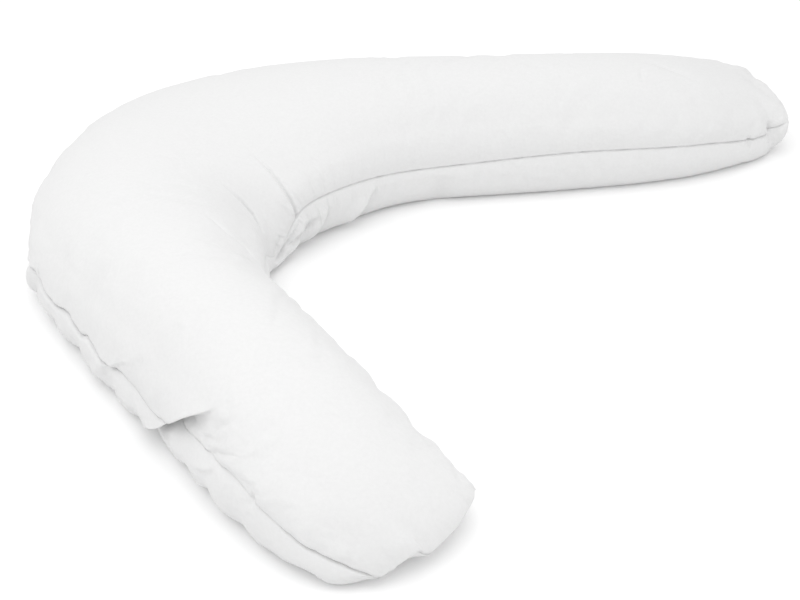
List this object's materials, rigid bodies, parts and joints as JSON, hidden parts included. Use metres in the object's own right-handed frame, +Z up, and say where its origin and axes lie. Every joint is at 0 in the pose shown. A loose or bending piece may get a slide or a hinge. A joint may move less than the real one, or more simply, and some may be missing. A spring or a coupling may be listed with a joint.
{
  "type": "body pillow",
  "caption": "V-shaped body pillow in plain white cotton, plump and softly creased, lying flat with its arms spread.",
  "frame": {"origin": "under the middle of the pillow's box, on the surface it lies on", "axes": "+Z up out of the surface; +X from the bend towards the open side of the V; +Y towards the far arm"},
  "size_m": [1.1582, 1.1616, 0.1763],
  "materials": {
    "white_cotton": "matt plain-weave white cotton"
  },
  "bodies": {
    "root": {"body_pillow": "white_cotton"}
  },
  "joints": []
}
